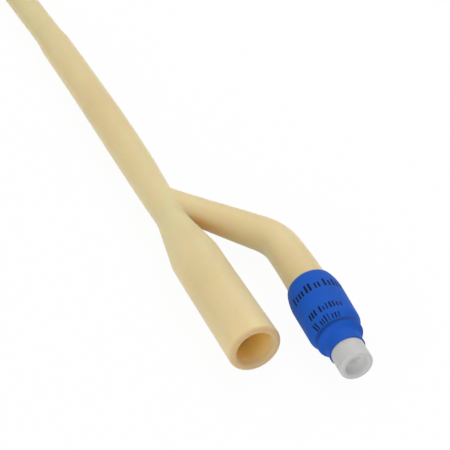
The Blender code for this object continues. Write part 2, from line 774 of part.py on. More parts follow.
def main():
    clear_scene()
    parts = new_collection("foley_catheter")
    cutters = new_collection("cutters")
    latex = material("latex", (0.74, 0.60, 0.33), 0.42)
    thin_latex = material("balloon_latex", (0.78, 0.66, 0.40), 0.38)
    blue_film = material("blue_film", (0.020, 0.105, 0.46), 0.40)
    white_plastic = material("white_plastic", (0.62, 0.63, 0.63), 0.45)
    natural_plastic = material("natural_plastic", (0.75, 0.76, 0.74), 0.40)
    seal_rubber = material("seal_rubber", (0.05, 0.05, 0.05), 0.65)
    spring_steel = material("spring_steel", (0.55, 0.56, 0.58), 0.30, 1.0)

    root = bpy.data.objects.new("catheter", None)
    parts.objects.link(root)
    latex_pieces = [
        make_body(parts, cutters, latex),
        make_balloon(parts, cutters, thin_latex),
    ]
    axis = valve_axis(parts)
    on_valve = [
        make_sleeve(parts, blue_film),
        make_valve_body(parts, white_plastic),
        make_valve_tail(parts, natural_plastic),
        make_plunger(parts, natural_plastic),
        make_seal(parts, seal_rubber),
        make_spring(parts, spring_steel),
    ]
    for piece in latex_pieces + [axis] + list(cutters.objects):
        piece.parent = root
    for piece in on_valve:
        piece.parent = axis
    stand_on_origin(latex_pieces + on_valve, root)


main()
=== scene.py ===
# %% [markdown]
# # A balloon catheter on a white table
# The frame below is the imported solid model: it fixes where every piece is and
# how long, wide and high the whole thing may be. This lesson dresses it. Most
# pieces that show get a finer mesh than the solid has, and every surface gets
# a material worked out from what the real one is made of.

# %% Load the frame
import json
import math
import bpy
from mathutils import Matrix, Vector
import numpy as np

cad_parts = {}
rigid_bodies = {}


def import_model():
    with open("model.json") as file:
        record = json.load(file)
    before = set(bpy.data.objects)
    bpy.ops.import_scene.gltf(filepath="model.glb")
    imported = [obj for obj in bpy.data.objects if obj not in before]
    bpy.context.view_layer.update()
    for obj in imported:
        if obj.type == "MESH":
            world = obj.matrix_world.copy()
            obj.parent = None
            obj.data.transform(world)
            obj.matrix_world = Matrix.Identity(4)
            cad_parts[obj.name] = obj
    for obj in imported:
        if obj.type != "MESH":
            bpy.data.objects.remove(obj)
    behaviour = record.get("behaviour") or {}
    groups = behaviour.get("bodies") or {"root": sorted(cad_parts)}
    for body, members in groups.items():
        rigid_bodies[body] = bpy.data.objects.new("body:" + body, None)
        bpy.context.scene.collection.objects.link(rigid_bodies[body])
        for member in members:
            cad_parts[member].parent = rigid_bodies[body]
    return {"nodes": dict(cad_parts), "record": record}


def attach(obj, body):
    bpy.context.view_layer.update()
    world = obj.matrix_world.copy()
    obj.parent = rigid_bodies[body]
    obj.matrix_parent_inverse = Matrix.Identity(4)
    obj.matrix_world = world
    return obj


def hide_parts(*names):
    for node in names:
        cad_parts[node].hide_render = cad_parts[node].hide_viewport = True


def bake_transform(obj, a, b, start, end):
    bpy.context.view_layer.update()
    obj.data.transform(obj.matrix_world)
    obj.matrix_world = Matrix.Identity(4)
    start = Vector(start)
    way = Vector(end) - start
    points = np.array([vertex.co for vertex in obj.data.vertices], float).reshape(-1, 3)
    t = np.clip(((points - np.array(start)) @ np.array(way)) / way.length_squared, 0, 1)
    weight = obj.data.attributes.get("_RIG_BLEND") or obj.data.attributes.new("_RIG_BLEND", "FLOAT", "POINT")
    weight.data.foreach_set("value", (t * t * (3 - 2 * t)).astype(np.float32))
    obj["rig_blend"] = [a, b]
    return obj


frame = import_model()
bpy.ops.object.select_all(action='DESELECT')
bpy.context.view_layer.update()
MM = 0.001

# %% [markdown]
# ## Two fixed places
# The record names two mounts. The funnel's mount lies on the wall of its mouth,
# halfway between the bore and the rim's outer edge, and the valve's mount lies on the valve's
# rim, straight above its middle. Stepping back from them gives the middle of
# each mouth, and everything else is measured from there.

# %% Mouths
mounts = {mount["name"]: mount for mount in frame["record"]["mounts"]}
RIM_MIDDLE = 5.65 * MM
VALVE_RIM_MIDDLE = 3.5 * MM
funnel_mouth = Vector(mounts["funnel_mouth"]["pos_m"]) - Vector((RIM_MIDDLE, 0.0, 0.0))
valve_mouth = Vector(mounts["valve_mouth"]["pos_m"]) - Vector((0.0, 0.0, VALVE_RIM_MIDDLE))
valve_out = Vector(mounts["valve_mouth"]["axis"]).normalized()
print("funnel mouth", [round(value / MM, 2) for value in funnel_mouth])
print("valve mouth", [round(value / MM, 2) for value in valve_mouth])

# %% [markdown]
# ## Camera
# The photograph looks down on the mouths from the front left with a long lens,
# as a product shot does. A camera could be aimed by eye with a Track To
# constraint, but here its place was worked out from the outline of the tubes,
# so it is written down as a distance from the funnel's mouth and two angles.

# %% Camera
CAMERA_FROM_MOUTH = Vector((-151.867, -320.750, 346.587)) * MM
CAMERA_TURN = math.radians(-24.087)
CAMERA_DOWN = math.radians(40.736)
LENS_PIXELS = 1989.468
PICTURE_WIDTH = 450.0

bpy.ops.object.camera_add(location=funnel_mouth + CAMERA_FROM_MOUTH,
                          rotation=(math.pi / 2 - CAMERA_DOWN, 0.0, CAMERA_TURN))
camera = bpy.context.object
camera.name = "camera"
camera.data.sensor_width = 36.0
camera.data.lens = LENS_PIXELS / PICTURE_WIDTH * camera.data.sensor_width
bpy.context.scene.camera = camera
bpy.context.scene.view_settings.view_transform = 'Standard'
print("lens in mm", round(camera.data.lens, 1))

# %% [markdown]
# ## Line of the tubes
# A dipped latex tube is a round section carried along a gently bent line. The
# line could be drawn as a free curve, but the solid model already says what it
# is: straight legs and slow bends, seen from above. Here the same legs are
# walked to give the place and the heading at any distance along a tube.

# %% Walk along a line of legs
def walk(start, heading, legs, distance):
    """Place and heading after a distance along legs of (length, turn to the right)."""
    here = Vector(start)
    for length, turn in legs:
        step = min(distance, length)
        part = turn * step / length
        chord = step * math.sin(part / 2) / (part / 2) if part else step
        middle = heading + part / 2
        here += chord * Vector((math.sin(middle), math.cos(middle)))
        heading += part
        distance -= step
        if distance <= 0.0:
            return here, heading
    return here + distance * Vector((math.sin(heading), math.cos(heading))), heading


# %% Sizes change along a tube
def line(share):
    return share


def ease(share):
    return share * share * (3.0 - 2.0 * share)


def rise(share):
    return math.sqrt(1.0 - (1.0 - share) ** 2)


def fall(share):
    return 1.0 - math.sqrt(1.0 - share ** 2)


def steepen(share):
    return share ** 2


def flatten(share):
    return 1.0 - (1.0 - share) ** 2


def share_of(value, low, high):
    """How far a value is from low to high, eased, from 0 to 1."""
    return ease(min(max((value - low) / (high - low), 0.0), 1.0))


def size_at(stations, distance):
    """Value at a distance between (distance, value, way there) stations."""
    if distance <= stations[0][0]:
        return stations[0][1]
    for (start, first, _), (end, second, way) in zip(stations, stations[1:]):
        if distance <= end:
            return first + (second - first) * way(min((distance - start) / (end - start), 1.0))
    return stations[-1][1]


# %% Main line, in millimetres from the funnel's mouth
TOTAL = 400.0
FUNNEL = 37.6
STRAIGHT = 28.0
TURN_LENGTH = 38.0
CONE_END = FUNNEL + 15.8
NECK_END = CONE_END + 3.6
TRUNK_END = NECK_END + 87.0
SHAFT_START = TRUNK_END + 8.4
SEAT_START = TOTAL - 54.0
SEAT_END = TOTAL - 28.0
BEND_LENGTH = TOTAL - STRAIGHT - TURN_LENGTH
MAIN_LEGS = [(STRAIGHT, 0.0), (TURN_LENGTH, math.radians(2.0)), (BEND_LENGTH, -BEND_LENGTH / 1280.0)]
BALLOON_OUTER = 4.3
RIM_OUTER = 1.2
RIM_INNER = 1.9
MAIN_RADIUS = [
    (0.0, 5.95, line), (RIM_OUTER, 7.1, rise), (FUNNEL, 6.7, line), (CONE_END, 4.2, line),
    (NECK_END, 4.0, flatten), (NECK_END + 36.0, 4.8, flatten), (TRUNK_END, 4.5, ease),
    (SHAFT_START, 4.0, ease), (SEAT_START, 4.0, line), (SEAT_START + 0.25, 3.75, line),
    (SEAT_END - 0.25, 3.75, line), (SEAT_END, 4.0, line), (TOTAL - 6.0, 4.0, line), (TOTAL, 0.0, fall)]
BORE_RADIUS = [
    (0.0, 5.85, line), (RIM_INNER, 4.7, rise), (FUNNEL, 4.0, line), (NECK_END, 2.25, ease),
    (TOTAL - 4.25, 2.25, line), (TOTAL - 2.0, 0.0, fall)]
MAIN_HEIGHT = [
    (0.0, 7.1, line), (FUNNEL, 6.7, line), (TRUNK_END, 4.5, ease), (SHAFT_START + 20.0, 4.0, ease),
    (SEAT_START - 30.0, 4.0, line), (SEAT_START, BALLOON_OUTER, ease)]


def main_place(distance):
    """Place on the main line, a distance in millimetres from the mouth."""
    (x, y), _ = walk((0.0, 0.0), 0.0, MAIN_LEGS, distance)
    return funnel_mouth + Vector((x, y, size_at(MAIN_HEIGHT, distance) - MAIN_HEIGHT[0][1])) * MM


print("tip at", [round(value / MM, 1) for value in main_place(TOTAL)])

# %% Arm's line, in millimetres from the fork
FORK = 65.5
ARM_STRAIGHT = 32.0
ARM_BEND = 9.0
ARM_SWEEP = 16.7
ARM_CURVED = ARM_STRAIGHT + ARM_BEND + ARM_SWEEP
SLEEVE_FRONT = 5.9
SLEEVE_BACK = SLEEVE_FRONT + 24.5
VALVE_FROM_FORK = ARM_CURVED + SLEEVE_BACK
COLLAR_FRONT = 9.8
COLLAR_TOP = COLLAR_FRONT + 1.1
COLLAR_BACK = COLLAR_FRONT + 1.5
CUFF_FRONT = COLLAR_BACK + 0.3
CUFF_NOSE = CUFF_FRONT + 2.6
CUFF_BACK = CUFF_FRONT + 13.6
CUFF_END = CUFF_BACK + 6.4
ARM_LEGS = [(ARM_STRAIGHT, 0.0), (ARM_BEND, math.radians(36.0)), (ARM_SWEEP, math.radians(4.4))]
FORK_PLACE, FORK_HEADING = walk((0.0, 0.0), 0.0, MAIN_LEGS, FORK)
ARM_HEADING = FORK_HEADING + math.pi - math.radians(38.7)
ARM_RADIUS = [(0.0, 2.6, line), (5.0, 3.7, rise), (ARM_STRAIGHT, 4.75, line), (VALVE_FROM_FORK - CUFF_END, 5.4, line)]
# Shift of the arm's line at the fork, in millimetres. It lies nearly along the camera's line of sight, so the
# arm's top runs into the trunk without a seam, and the outline in the photograph's view stays as it was.
RAISED = Vector((-0.38, -0.85, 0.8))
RAISED_TO = 8.0
RAISED_GONE = 28.0
VALVE_RADIUS = 4.45
UNDER_SLEEVE = [
    (COLLAR_FRONT, VALVE_RADIUS, line), (COLLAR_TOP, 5.8, rise), (COLLAR_BACK, 5.5, ease),
    (CUFF_FRONT, 5.5, line), (CUFF_NOSE, 6.5, ease), (CUFF_BACK, 6.65, line), (CUFF_END, 5.4, steepen)]
ARM_HEIGHT = [(0.0, size_at(MAIN_HEIGHT, FORK), line), (ARM_CURVED, 7.15, ease)]


def arm_place(distance):
    """Place on the arm's line, a distance in millimetres from the fork."""
    (x, y), _ = walk(FORK_PLACE, ARM_HEADING, ARM_LEGS, distance)
    raised = RAISED * (1.0 - share_of(distance, RAISED_TO, RAISED_GONE))
    return funnel_mouth + (Vector((x, y, size_at(ARM_HEIGHT, distance) - MAIN_HEIGHT[0][1])) + raised) * MM


def arm_radius(distance):
    """Radius of the arm, which swells under the sleeve."""
    depth = VALVE_FROM_FORK - distance
    return size_at(UNDER_SLEEVE, depth) if depth <= CUFF_END else size_at(ARM_RADIUS, distance)


print("valve from fork", round(VALVE_FROM_FORK, 1), "mm, off by",
      round((arm_place(VALVE_FROM_FORK) - valve_mouth).length / MM, 3), "mm")

# %% [markdown]
# ## Turning a shape
# Everything here is round: the real tubes grow on round formers dipped in
# latex, and the valve comes out of a round mould. So each piece starts as a
# single point that is extruded into half a section and then spun. Spin closes
# the shape on itself, so the doubled seam is merged and the normals are worked
# out again.

# %% Draw half a section and spin it
def edit(obj):
    """Open one object in edit mode, with nothing selected in it."""
    bpy.ops.object.select_all(action='DESELECT')
    obj.select_set(True)
    bpy.context.view_layer.objects.active = obj
    bpy.ops.object.mode_set(mode='EDIT')
    bpy.ops.mesh.select_all(action='DESELECT')


def spun(name, section, sides):
    """A section of (distance along Y, radius) points in millimetres, spun round the Y axis."""
    bpy.ops.mesh.primitive_plane_add(size=MM, location=(0.0, 0.0, 0.0))
    obj = bpy.context.object
    obj.name = obj.data.name = name
    edit(obj)
    bpy.ops.mesh.select_all(action='SELECT')
    bpy.ops.mesh.merge(type='CENTER')
    here = Vector((0.0, 0.0, 0.0))
    for index, (distance, radius) in enumerate(section):
        there = Vector((0.0, distance, radius)) * MM
        if index == 0:
            bpy.ops.transform.translate(value=there - here)
        else:
            bpy.ops.mesh.extrude_region_move(TRANSFORM_OT_translate={"value": there - here})
        here = there
    bpy.ops.mesh.select_all(action='SELECT')
    bpy.ops.mesh.spin(steps=sides, angle=2.0 * math.pi, center=(0.0, 0.0, 0.0), axis=(0.0, 1.0, 0.0))
    bpy.ops.mesh.select_all(action='SELECT')
    bpy.ops.mesh.remove_doubles(threshold=0.002 * MM)
    bpy.ops.mesh.normals_make_consistent(inside=False)
    bpy.ops.object.mode_set(mode='OBJECT')
    return obj


def apply_all(obj):
    """Apply every modifier, as the Apply button does."""
    bpy.ops.object.select_all(action='DESELECT')
    obj.select_set(True)
    bpy.context.view_layer.objects.active = obj
    for modifier in list(obj.modifiers):
        bpy.ops.object.modifier_apply(modifier=modifier.name)


def smooth(obj, angle):
    """Smooth shading, with edges sharper than an angle in degrees kept."""
    bpy.ops.object.select_all(action='DESELECT')
    obj.select_set(True)
    bpy.context.view_layer.objects.active = obj
    bpy.ops.object.shade_smooth_by_angle(angle=math.radians(angle))


def remove(*objects):
    for obj in objects:
        bpy.data.objects.remove(obj, do_unlink=True)


# %% Spacing of the rings
def ladder(start, end, spacing):
    """Evenly spaced distances from start to end, both included."""
    count = max(1, math.ceil((end - start) / spacing - 1e-6))
    return [start + (end - start) * index / count for index in range(count + 1)]


def crowd(start, end, count=8):
    """Distances that crowd at the start, as round an edge."""
    return [start + (end - start) * (1.0 - math.cos(math.pi / 2 * index / count)) for index in range(count + 1)]


def rounded_end(start, end, count=12):
    """Distances that crowd at the end, as round a tip."""
    return [start + (end - start) * math.sin(math.pi / 2 * index / count) for index in range(count + 1)]


def in_order(*stretches):
    """One rising list of distances, without near doubles."""
    kept = []
    for distance in sorted(sum(stretches, [])):
        if not kept or distance - kept[-1] > 0.01:
            kept.append(distance)
    return kept


# %% [markdown]
# ## Laying a straight tube along its line
# A turned tube is straight. A Curve modifier bends it: it reads the distance
# along Y and puts that ring at the same distance along a path, square to it.
# That keeps the rings even, which a row of hand-turned rings would not.

# %% Bend a straight piece onto a line
LINE_SPACING = 1.0


def lay_along(obj, place_at, length):
    """Bend a piece made along Y onto a line given by a function of distance."""
    curve = bpy.data.curves.new(obj.name + "_line", 'CURVE')
    curve.dimensions = '3D'
    curve.twist_mode = 'Z_UP'
    spline = curve.splines.new('POLY')
    marks = ladder(0.0, length, LINE_SPACING)
    spline.points.add(len(marks) - 1)
    for point, mark in zip(spline.points, marks):
        point.co = (*place_at(mark), 1.0)
    guide = bpy.data.objects.new(curve.name, curve)
    bpy.context.scene.collection.objects.link(guide)
    bend = obj.modifiers.new("bend", 'CURVE')
    bend.object = guide
    bend.deform_axis = 'POS_Y'
    apply_all(obj)
    remove(guide)


# %% [markdown]
# ## Latex body
# The real body is one piece: a former in the shape of a Y is dipped in liquid
# latex, so the trunk and the arm grow into each other with a soft fillet. Two
# turned tubes are joined with a Boolean here. A remesh would blur the rim, so
# the mesh stays as turned, and only the points near the seam are moved.

# %% Trunk and shaft
SIDES = 72
PAST_FORK = 100.0
trunk_marks = in_order(
    crowd(0.0, RIM_OUTER), ladder(RIM_OUTER, FUNNEL, 2.4), ladder(FUNNEL, NECK_END, 0.75),
    ladder(NECK_END, PAST_FORK, 0.75), ladder(PAST_FORK, TRUNK_END, 4.0), ladder(TRUNK_END, SHAFT_START, 0.8),
    ladder(SHAFT_START, SEAT_START, 6.0), [SEAT_START + 0.25, SEAT_END - 0.25, SEAT_END],
    rounded_end(TOTAL - 6.0, TOTAL))
trunk_section = [(0.0, 0.0)] + [(mark, size_at(MAIN_RADIUS, mark)) for mark in trunk_marks]
latex_skin = spun("latex_skin", trunk_section, SIDES)
lay_along(latex_skin, main_place, TOTAL)
print("trunk and shaft:", len(latex_skin.data.polygons), "faces")

# %% Inflation arm
arm_end = VALVE_FROM_FORK - CUFF_FRONT
arm_marks = in_order(ladder(0.0, ARM_CURVED, 0.75), ladder(ARM_CURVED, arm_end, 0.6))
arm_section = [(0.0, 0.0)] + [(mark, arm_radius(mark)) for mark in arm_marks] + [(arm_end, 0.0)]
arm = spun("arm", arm_section, SIDES)
lay_along(arm, arm_place, arm_end)
print("arm:", len(arm.data.polygons), "faces")


# %% Join the two
def combine(obj, tool, operation):
    """One exact Boolean with a tool that is then removed."""
    step = obj.modifiers.new("combine", 'BOOLEAN')
    step.operation = operation
    step.solver = 'EXACT'
    step.object = tool
    apply_all(obj)
    remove(tool)


combine(latex_skin, arm, 'UNION')
print("joined:", len(latex_skin.data.polygons), "faces")

# %% [markdown]
# The seam between the tubes is a crease. Latex runs into such a corner and
# fills it. For two round tubes the filled surface can be worked out: it is
# where a smooth minimum of the two distances is zero. Each point near the seam
# is walked out to it along the steepest way, a few short steps at a time.

# %% Fillet at the fork, in millimetres
FILLET = 1.1
NEAR_FORK = 26
TOO_DEEP = -0.004
NUDGE = 0.05
FARTHEST_MOVE = 2.5
NARROWINGS = 18
STEPS_OUT = 3
AXES = (Vector((1, 0, 0)), Vector((0, 1, 0)), Vector((0, 0, 1)))


def distance_to(point, place_at, radius_at, low, high):
    """Distance in millimetres from a point to the skin of a tube, by golden section."""
    def gap(mark):
        return (point - place_at(mark)).length - radius_at(mark) * MM

    for _ in range(NARROWINGS):
        first = low + (high - low) * 0.382
        second = low + (high - low) * 0.618
        if gap(first) < gap(second):
            high = second
        else:
            low = first
    middle = (low + high) / 2
    return (point - place_at(middle)).length / MM - radius_at(middle)


def trunk_radius(distance):
    return size_at(MAIN_RADIUS, distance)


def filled(point):
    """Smooth minimum of the distances to the trunk and to the arm, in millimetres."""
    trunk = distance_to(point, main_place, trunk_radius, FUNNEL, PAST_FORK)
    side = distance_to(point, arm_place, arm_radius, 0.0, ARM_STRAIGHT)
    near = max(FILLET - abs(trunk - side), 0.0) / FILLET
    return min(trunk, side) - near * near * FILLET / 4


def fill_corner(obj):
    """Move the points near the seam out to the filled surface."""
    moved = 0
    middle = main_place(FORK - 4.0)
    for vertex in obj.data.vertices:
        if (vertex.co - middle).length > NEAR_FORK * MM:
            continue
        point = vertex.co.copy()
        if filled(point) > TOO_DEEP:
            continue
        for _ in range(STEPS_OUT):
            here = filled(point)
            slope = Vector([filled(point + NUDGE * MM * axis) - here for axis in AXES]) / NUDGE
            if slope.length_squared < 1e-6:
                break
            point -= slope * (here * MM / slope.length_squared)
        if (point - vertex.co).length < FARTHEST_MOVE * MM:
            vertex.co = point
            moved += 1
    return moved


print("points moved to the fillet:", fill_corner(latex_skin))

# %% [markdown]
# ## Bores
# The funnel is open all the way down to the shaft's lumen, the arm is hollow
# where the valve sits in it, and two eyes let urine in near the tip. Each is a
# turned cutter, taken away after the corner is filled.

# %% Drainage lumen
bore_marks = in_order(
    crowd(0.0, RIM_INNER, 10), ladder(RIM_INNER, FUNNEL, 3.0), ladder(FUNNEL, NECK_END, 1.2),
    ladder(NECK_END, TOTAL - 4.25, 8.0), rounded_end(TOTAL - 4.25, TOTAL - 2.0, 6))
bore_section = [(-1.0, 0.0), (-1.0, 5.85)] + [(mark, size_at(BORE_RADIUS, mark)) for mark in bore_marks]
drain = spun("drain", bore_section, SIDES)
lay_along(drain, main_place, TOTAL)
combine(latex_skin, drain, 'DIFFERENCE')

# %% Seat for the valve in the arm: room for the housing, then for the tail's barb, then the fine lumen
seat_section = [
    (arm_end + 1.0, 0.0), (arm_end + 1.0, 4.3), (VALVE_FROM_FORK - 22.0, 4.3),
    (VALVE_FROM_FORK - 22.4, 2.5), (VALVE_FROM_FORK - 28.5, 2.5),
    (VALVE_FROM_FORK - 29.4, 1.5), (ARM_STRAIGHT, 1.5), (ARM_STRAIGHT, 0.0)]
seat = spun("seat", seat_section, 48)
lay_along(seat, arm_place, arm_end + 2.0)
combine(latex_skin, seat, 'DIFFERENCE')

# %% Drainage eyes
for from_tip, side in ((12.0, 1.0), (19.0, -1.0)):
    mark = TOTAL - from_tip
    _, heading = walk((0.0, 0.0), 0.0, MAIN_LEGS, mark)
    across = Vector((math.cos(heading), -math.sin(heading), 0.0))
    bpy.ops.mesh.primitive_cylinder_add(vertices=48, radius=0.5, depth=1.0)
    eye = bpy.context.object
    eye.matrix_world = (Matrix.Translation(main_place(mark) + across * side * 2.6 * MM)
                        @ Matrix.Rotation(-heading, 4, 'Z') @ Matrix.Rotation(math.pi / 2, 4, 'Y')
                        @ Matrix.Diagonal((2.8 * MM, 5.0 * MM, 5.2 * MM, 1.0)))
    bpy.ops.object.transform_apply(location=True, rotation=True, scale=True)
    combine(latex_skin, eye, 'DIFFERENCE')
smooth(latex_skin, 40.0)
print("latex body:", len(latex_skin.data.polygons), "faces")

# %% [markdown]
# The latex is painted in three places. The rim of the mouth is painted darker,
# as painted shade. The inside of the funnel is painted brighter and more
# orange, as painted light standing in for light that comes through the wall.
# The low corner of the fork, where the rubber is thick, is painted a deeper
# amber, partly as painted shade of the crease. Three numbers on each point say
# how much of each there is, from 0 to 1, and the material reads them.

# %% Painted shade, painted light and thick rubber, as numbers on the points
def mark_rubber(obj):
    """Write the attributes for painted shade on the rim, painted light inside the bore, and thick rubber with painted
    shade in the fork.
    """
    names = ("rim", "inside", "pooled_shade")
    for name in names:
        obj.data.attributes.new(name, 'FLOAT', 'POINT')
    rim, inside, pooled_shade = (obj.data.attributes[name].data for name in names)
    crotch = main_place(FORK - 10.0)
    for index, vertex in enumerate(obj.data.vertices):
        depth = (vertex.co.y - funnel_mouth.y) / MM
        if depth < NECK_END:
            radius = (vertex.co - main_place(max(depth, 0.0))).length / MM
            in_bore = radius < size_at(BORE_RADIUS, depth) + 0.1
            # painted shade: the mouth's rim and the top of the bore are painted darker
            rim[index].value = 1.0 - share_of(depth, 0.1, 2.6 if in_bore else 1.5)
            # painted light: the bore below the rim is painted brighter and more orange, for light that comes through
            # the wall
            inside[index].value = share_of(depth, 0.6, 3.2) if in_bore else 0.0
        # painted shade low in the fork's corner next to the trunk, where the rubber is also thick
        if (vertex.co - crotch).length < 20 * MM:
            trunk = distance_to(vertex.co, main_place, trunk_radius, FUNNEL, PAST_FORK)
            low = 1.0 - share_of((vertex.co.z - crotch.z) / MM, 0.8, 3.6)
            near = share_of(trunk, 0.0, 0.5) * (1.0 - share_of(trunk, 0.5, 9.0))
            pooled_shade[index].value = near * low * (1.0 - share_of(depth - FORK, -8.0, -1.0))


mark_rubber(latex_skin)
print("attributes:", [attribute.name for attribute in latex_skin.data.attributes if attribute.domain == 'POINT'])

# %% [markdown]
# ## Balloon
# Empty, the balloon is a thin latex sleeve that clings to its seat, glued at
# both ends, with shallow folds along it where the slack lies. Folds could be a
# cloth simulation, but they are two tenths of a millimetre deep at most, so the
# points are simply moved in by a sum of waves that fades out at both ends.

# %% Balloon with shallow folds
BALLOON_INNER = 3.95
BALLOON_EDGE = 4.12
BALLOON_TAPER = 0.7
WAVES_HEIGHT = 2.1
balloon_start = SEAT_START + 0.55
balloon_end = SEAT_END - 0.55
balloon_marks = in_order(
    ladder(balloon_start, balloon_start + BALLOON_TAPER, 0.2),
    ladder(balloon_start + BALLOON_TAPER, balloon_end - BALLOON_TAPER, 0.5),
    ladder(balloon_end - BALLOON_TAPER, balloon_end, 0.2))
balloon_size = [
    (balloon_start, BALLOON_EDGE, line), (balloon_start + BALLOON_TAPER, BALLOON_OUTER, line),
    (balloon_end - BALLOON_TAPER, BALLOON_OUTER, line), (balloon_end, BALLOON_EDGE, line)]
balloon_section = [(balloon_start, BALLOON_INNER)] + [(mark, size_at(balloon_size, mark)) for mark in balloon_marks]
balloon_section += [(mark, BALLOON_INNER) for mark in reversed(balloon_marks)]
balloon_skin = spun("balloon_skin", balloon_section, 96)
for vertex in balloon_skin.data.vertices:
    along = vertex.co.y / MM
    radius = math.hypot(vertex.co.x, vertex.co.z) / MM
    # the inner wall keeps its place
    if radius < 4.0:
        continue
    angle = math.atan2(vertex.co.x, vertex.co.z)
    share = (along - balloon_start) / (balloon_end - balloon_start)
    fade = math.sin(math.pi * min(max(share, 0.0), 1.0)) ** 0.5 if 0.0 < share < 1.0 else 0.0
    waves = (math.sin(9 * angle + 2.2 * math.sin(5.0 * share + 1.0))
             + 0.6 * math.sin(14 * angle + 3.1 * math.cos(4.0 * share))
             + 0.5 * math.sin(3 * angle + 7.0 * share))
    dent = 0.09 * fade * (WAVES_HEIGHT + waves) / WAVES_HEIGHT
    vertex.co.x *= 1.0 - dent / radius
    vertex.co.z *= 1.0 - dent / radius
lay_along(balloon_skin, main_place, TOTAL)
smooth(balloon_skin, 50.0)
print("balloon:", len(balloon_skin.data.polygons), "faces")

# %% [markdown]
# ## Sleeve
# The sleeve is a thin blue film, dipped over the end of the arm and the collar
# of the valve. It clings to what is under it, so its section follows the cuff
# and the collar, with soft waists where the film bridges a step. Its own UV map
# holds real millimetres: round the sleeve and along it, for the print.

# %% Sleeve film
def place_on_valve(obj):
    """Put a piece that was made along Y, by depth behind the mouth, on the valve's axis."""
    obj.rotation_euler = (0.0, 0.0, math.atan2(valve_out.x, -valve_out.y))
    obj.location = valve_mouth
    bpy.ops.object.select_all(action='DESELECT')
    obj.select_set(True)
    bpy.context.view_layer.objects.active = obj
    bpy.ops.object.transform_apply(location=True, rotation=True, scale=True)


FILM = 0.3
FILM_GAP = 0.2
LIP = VALVE_RADIUS + 0.06
DOME = COLLAR_FRONT - FILM_GAP
BRIDGE = 0.5
film_inner = [(SLEEVE_FRONT, LIP, line), (DOME, LIP, line), (COLLAR_TOP, 5.8 + FILM_GAP, rise)]
film_inner += [(depth, radius + FILM_GAP, way) for depth, radius, way in UNDER_SLEEVE[2:]]


def film_size(mark):
    """Outer radius of the film: the mean over a short stretch, as it bridges steps."""
    reach = min(BRIDGE, mark - SLEEVE_FRONT)
    near = ladder(mark - reach, mark + reach, max(reach, 0.1) / 8)
    return sum(size_at(film_inner, place) for place in near) / len(near) + FILM


film_marks = in_order(ladder(SLEEVE_FRONT, DOME - BRIDGE, 0.5), ladder(DOME - BRIDGE, CUFF_NOSE + BRIDGE, 0.12),
                      ladder(CUFF_NOSE + BRIDGE, CUFF_BACK, 0.8), ladder(CUFF_BACK, SLEEVE_BACK, 0.4))
film_section = [(mark, film_size(mark)) for mark in film_marks]
sleeve_film = spun("sleeve_film", film_section, 96)
thick = sleeve_film.modifiers.new("thick", 'SOLIDIFY')
thick.thickness = FILM * MM
thick.offset = -1.0
apply_all(sleeve_film)
print("sleeve:", len(sleeve_film.data.polygons), "faces")


# %% Millimetre UV map
def unroll(obj, radius):
    """A UV map in millimetres: u round the piece from its top, v the depth along Y."""
    layer = obj.data.uv_layers.new(name="unrolled")
    for polygon in obj.data.polygons:
        corners = [obj.data.vertices[index].co for index in polygon.vertices]
        angles = [math.atan2(corner.x, corner.z) for corner in corners]
        if max(angles) - min(angles) > math.pi:
            angles = [angle + 2.0 * math.pi if angle < 0.0 else angle for angle in angles]
        for loop, corner, angle in zip(polygon.loop_indices, corners, angles):
            layer.data[loop].uv = (angle * radius, corner.y / MM)


UNROLL_RADIUS = 7.2
unroll(sleeve_film, UNROLL_RADIUS)
place_on_valve(sleeve_film)
smooth(sleeve_film, 50.0)

# %% [markdown]
# ## Valve housing
# The housing is moulded in white plastic. Its mouth is a socket for a syringe:
# a bell-shaped lead-in, then the 6% taper. A mould leaves its edges slightly
# round, and those small rounds are what catches the light.

# %% Valve housing
OUTER_EDGE = 0.6
MOUTH = 3.4
LEAD_IN = 3.4
SOCKET = 2.18
TAPER = 0.03
shell_section = [(mark, VALVE_RADIUS - OUTER_EDGE + OUTER_EDGE * rise(mark / OUTER_EDGE))
                 for mark in crowd(0.0, OUTER_EDGE)]
shell_section += [(mark, size_at(UNDER_SLEEVE, mark)) for mark in crowd(COLLAR_FRONT, COLLAR_TOP, 6)]
# back of the collar, outside of the barrel, its chamber, the hole for the plunger, and the socket's narrow end
shell_section += [
    (COLLAR_BACK, 5.5), (COLLAR_BACK, 4.0), (19.4, 4.0), (19.4, 3.1), (9.9, 3.1), (9.9, 1.6), (8.9, 1.6),
    (8.9, 1.925)]
shell_section += [(depth, SOCKET - TAPER * depth + (MOUTH - SOCKET) * (1.0 - rise(depth / LEAD_IN)) ** 0.8)
                  for depth in reversed(crowd(0.0, LEAD_IN, 14))]
shell_section.append(shell_section[0])
valve_shell = spun("valve_shell", shell_section, 96)
# the attribute marks the points inside the socket, which are painted paler than the rim as painted light in the recess
socket = valve_shell.data.attributes.new("socket", 'FLOAT', 'POINT')
for index, vertex in enumerate(valve_shell.data.vertices):
    in_socket = math.hypot(vertex.co.x, vertex.co.z) < MOUTH * MM
    socket.data[index].value = share_of(vertex.co.y / MM, 0.3, 4.0) if in_socket else 0.0
place_on_valve(valve_shell)
smooth(valve_shell, 35.0)
print("valve housing:", len(valve_shell.data.polygons), "faces")

# %% [markdown]
# ## Spring
# The wire spring is held between the plunger's disc and the tail. When a
# syringe pushes the plunger in, the front coil goes with it, the back coil
# stays, and the coils between close up. So the wire is a copy of the solid's,
# with its loose triangles merged, that blends from one body to the other.

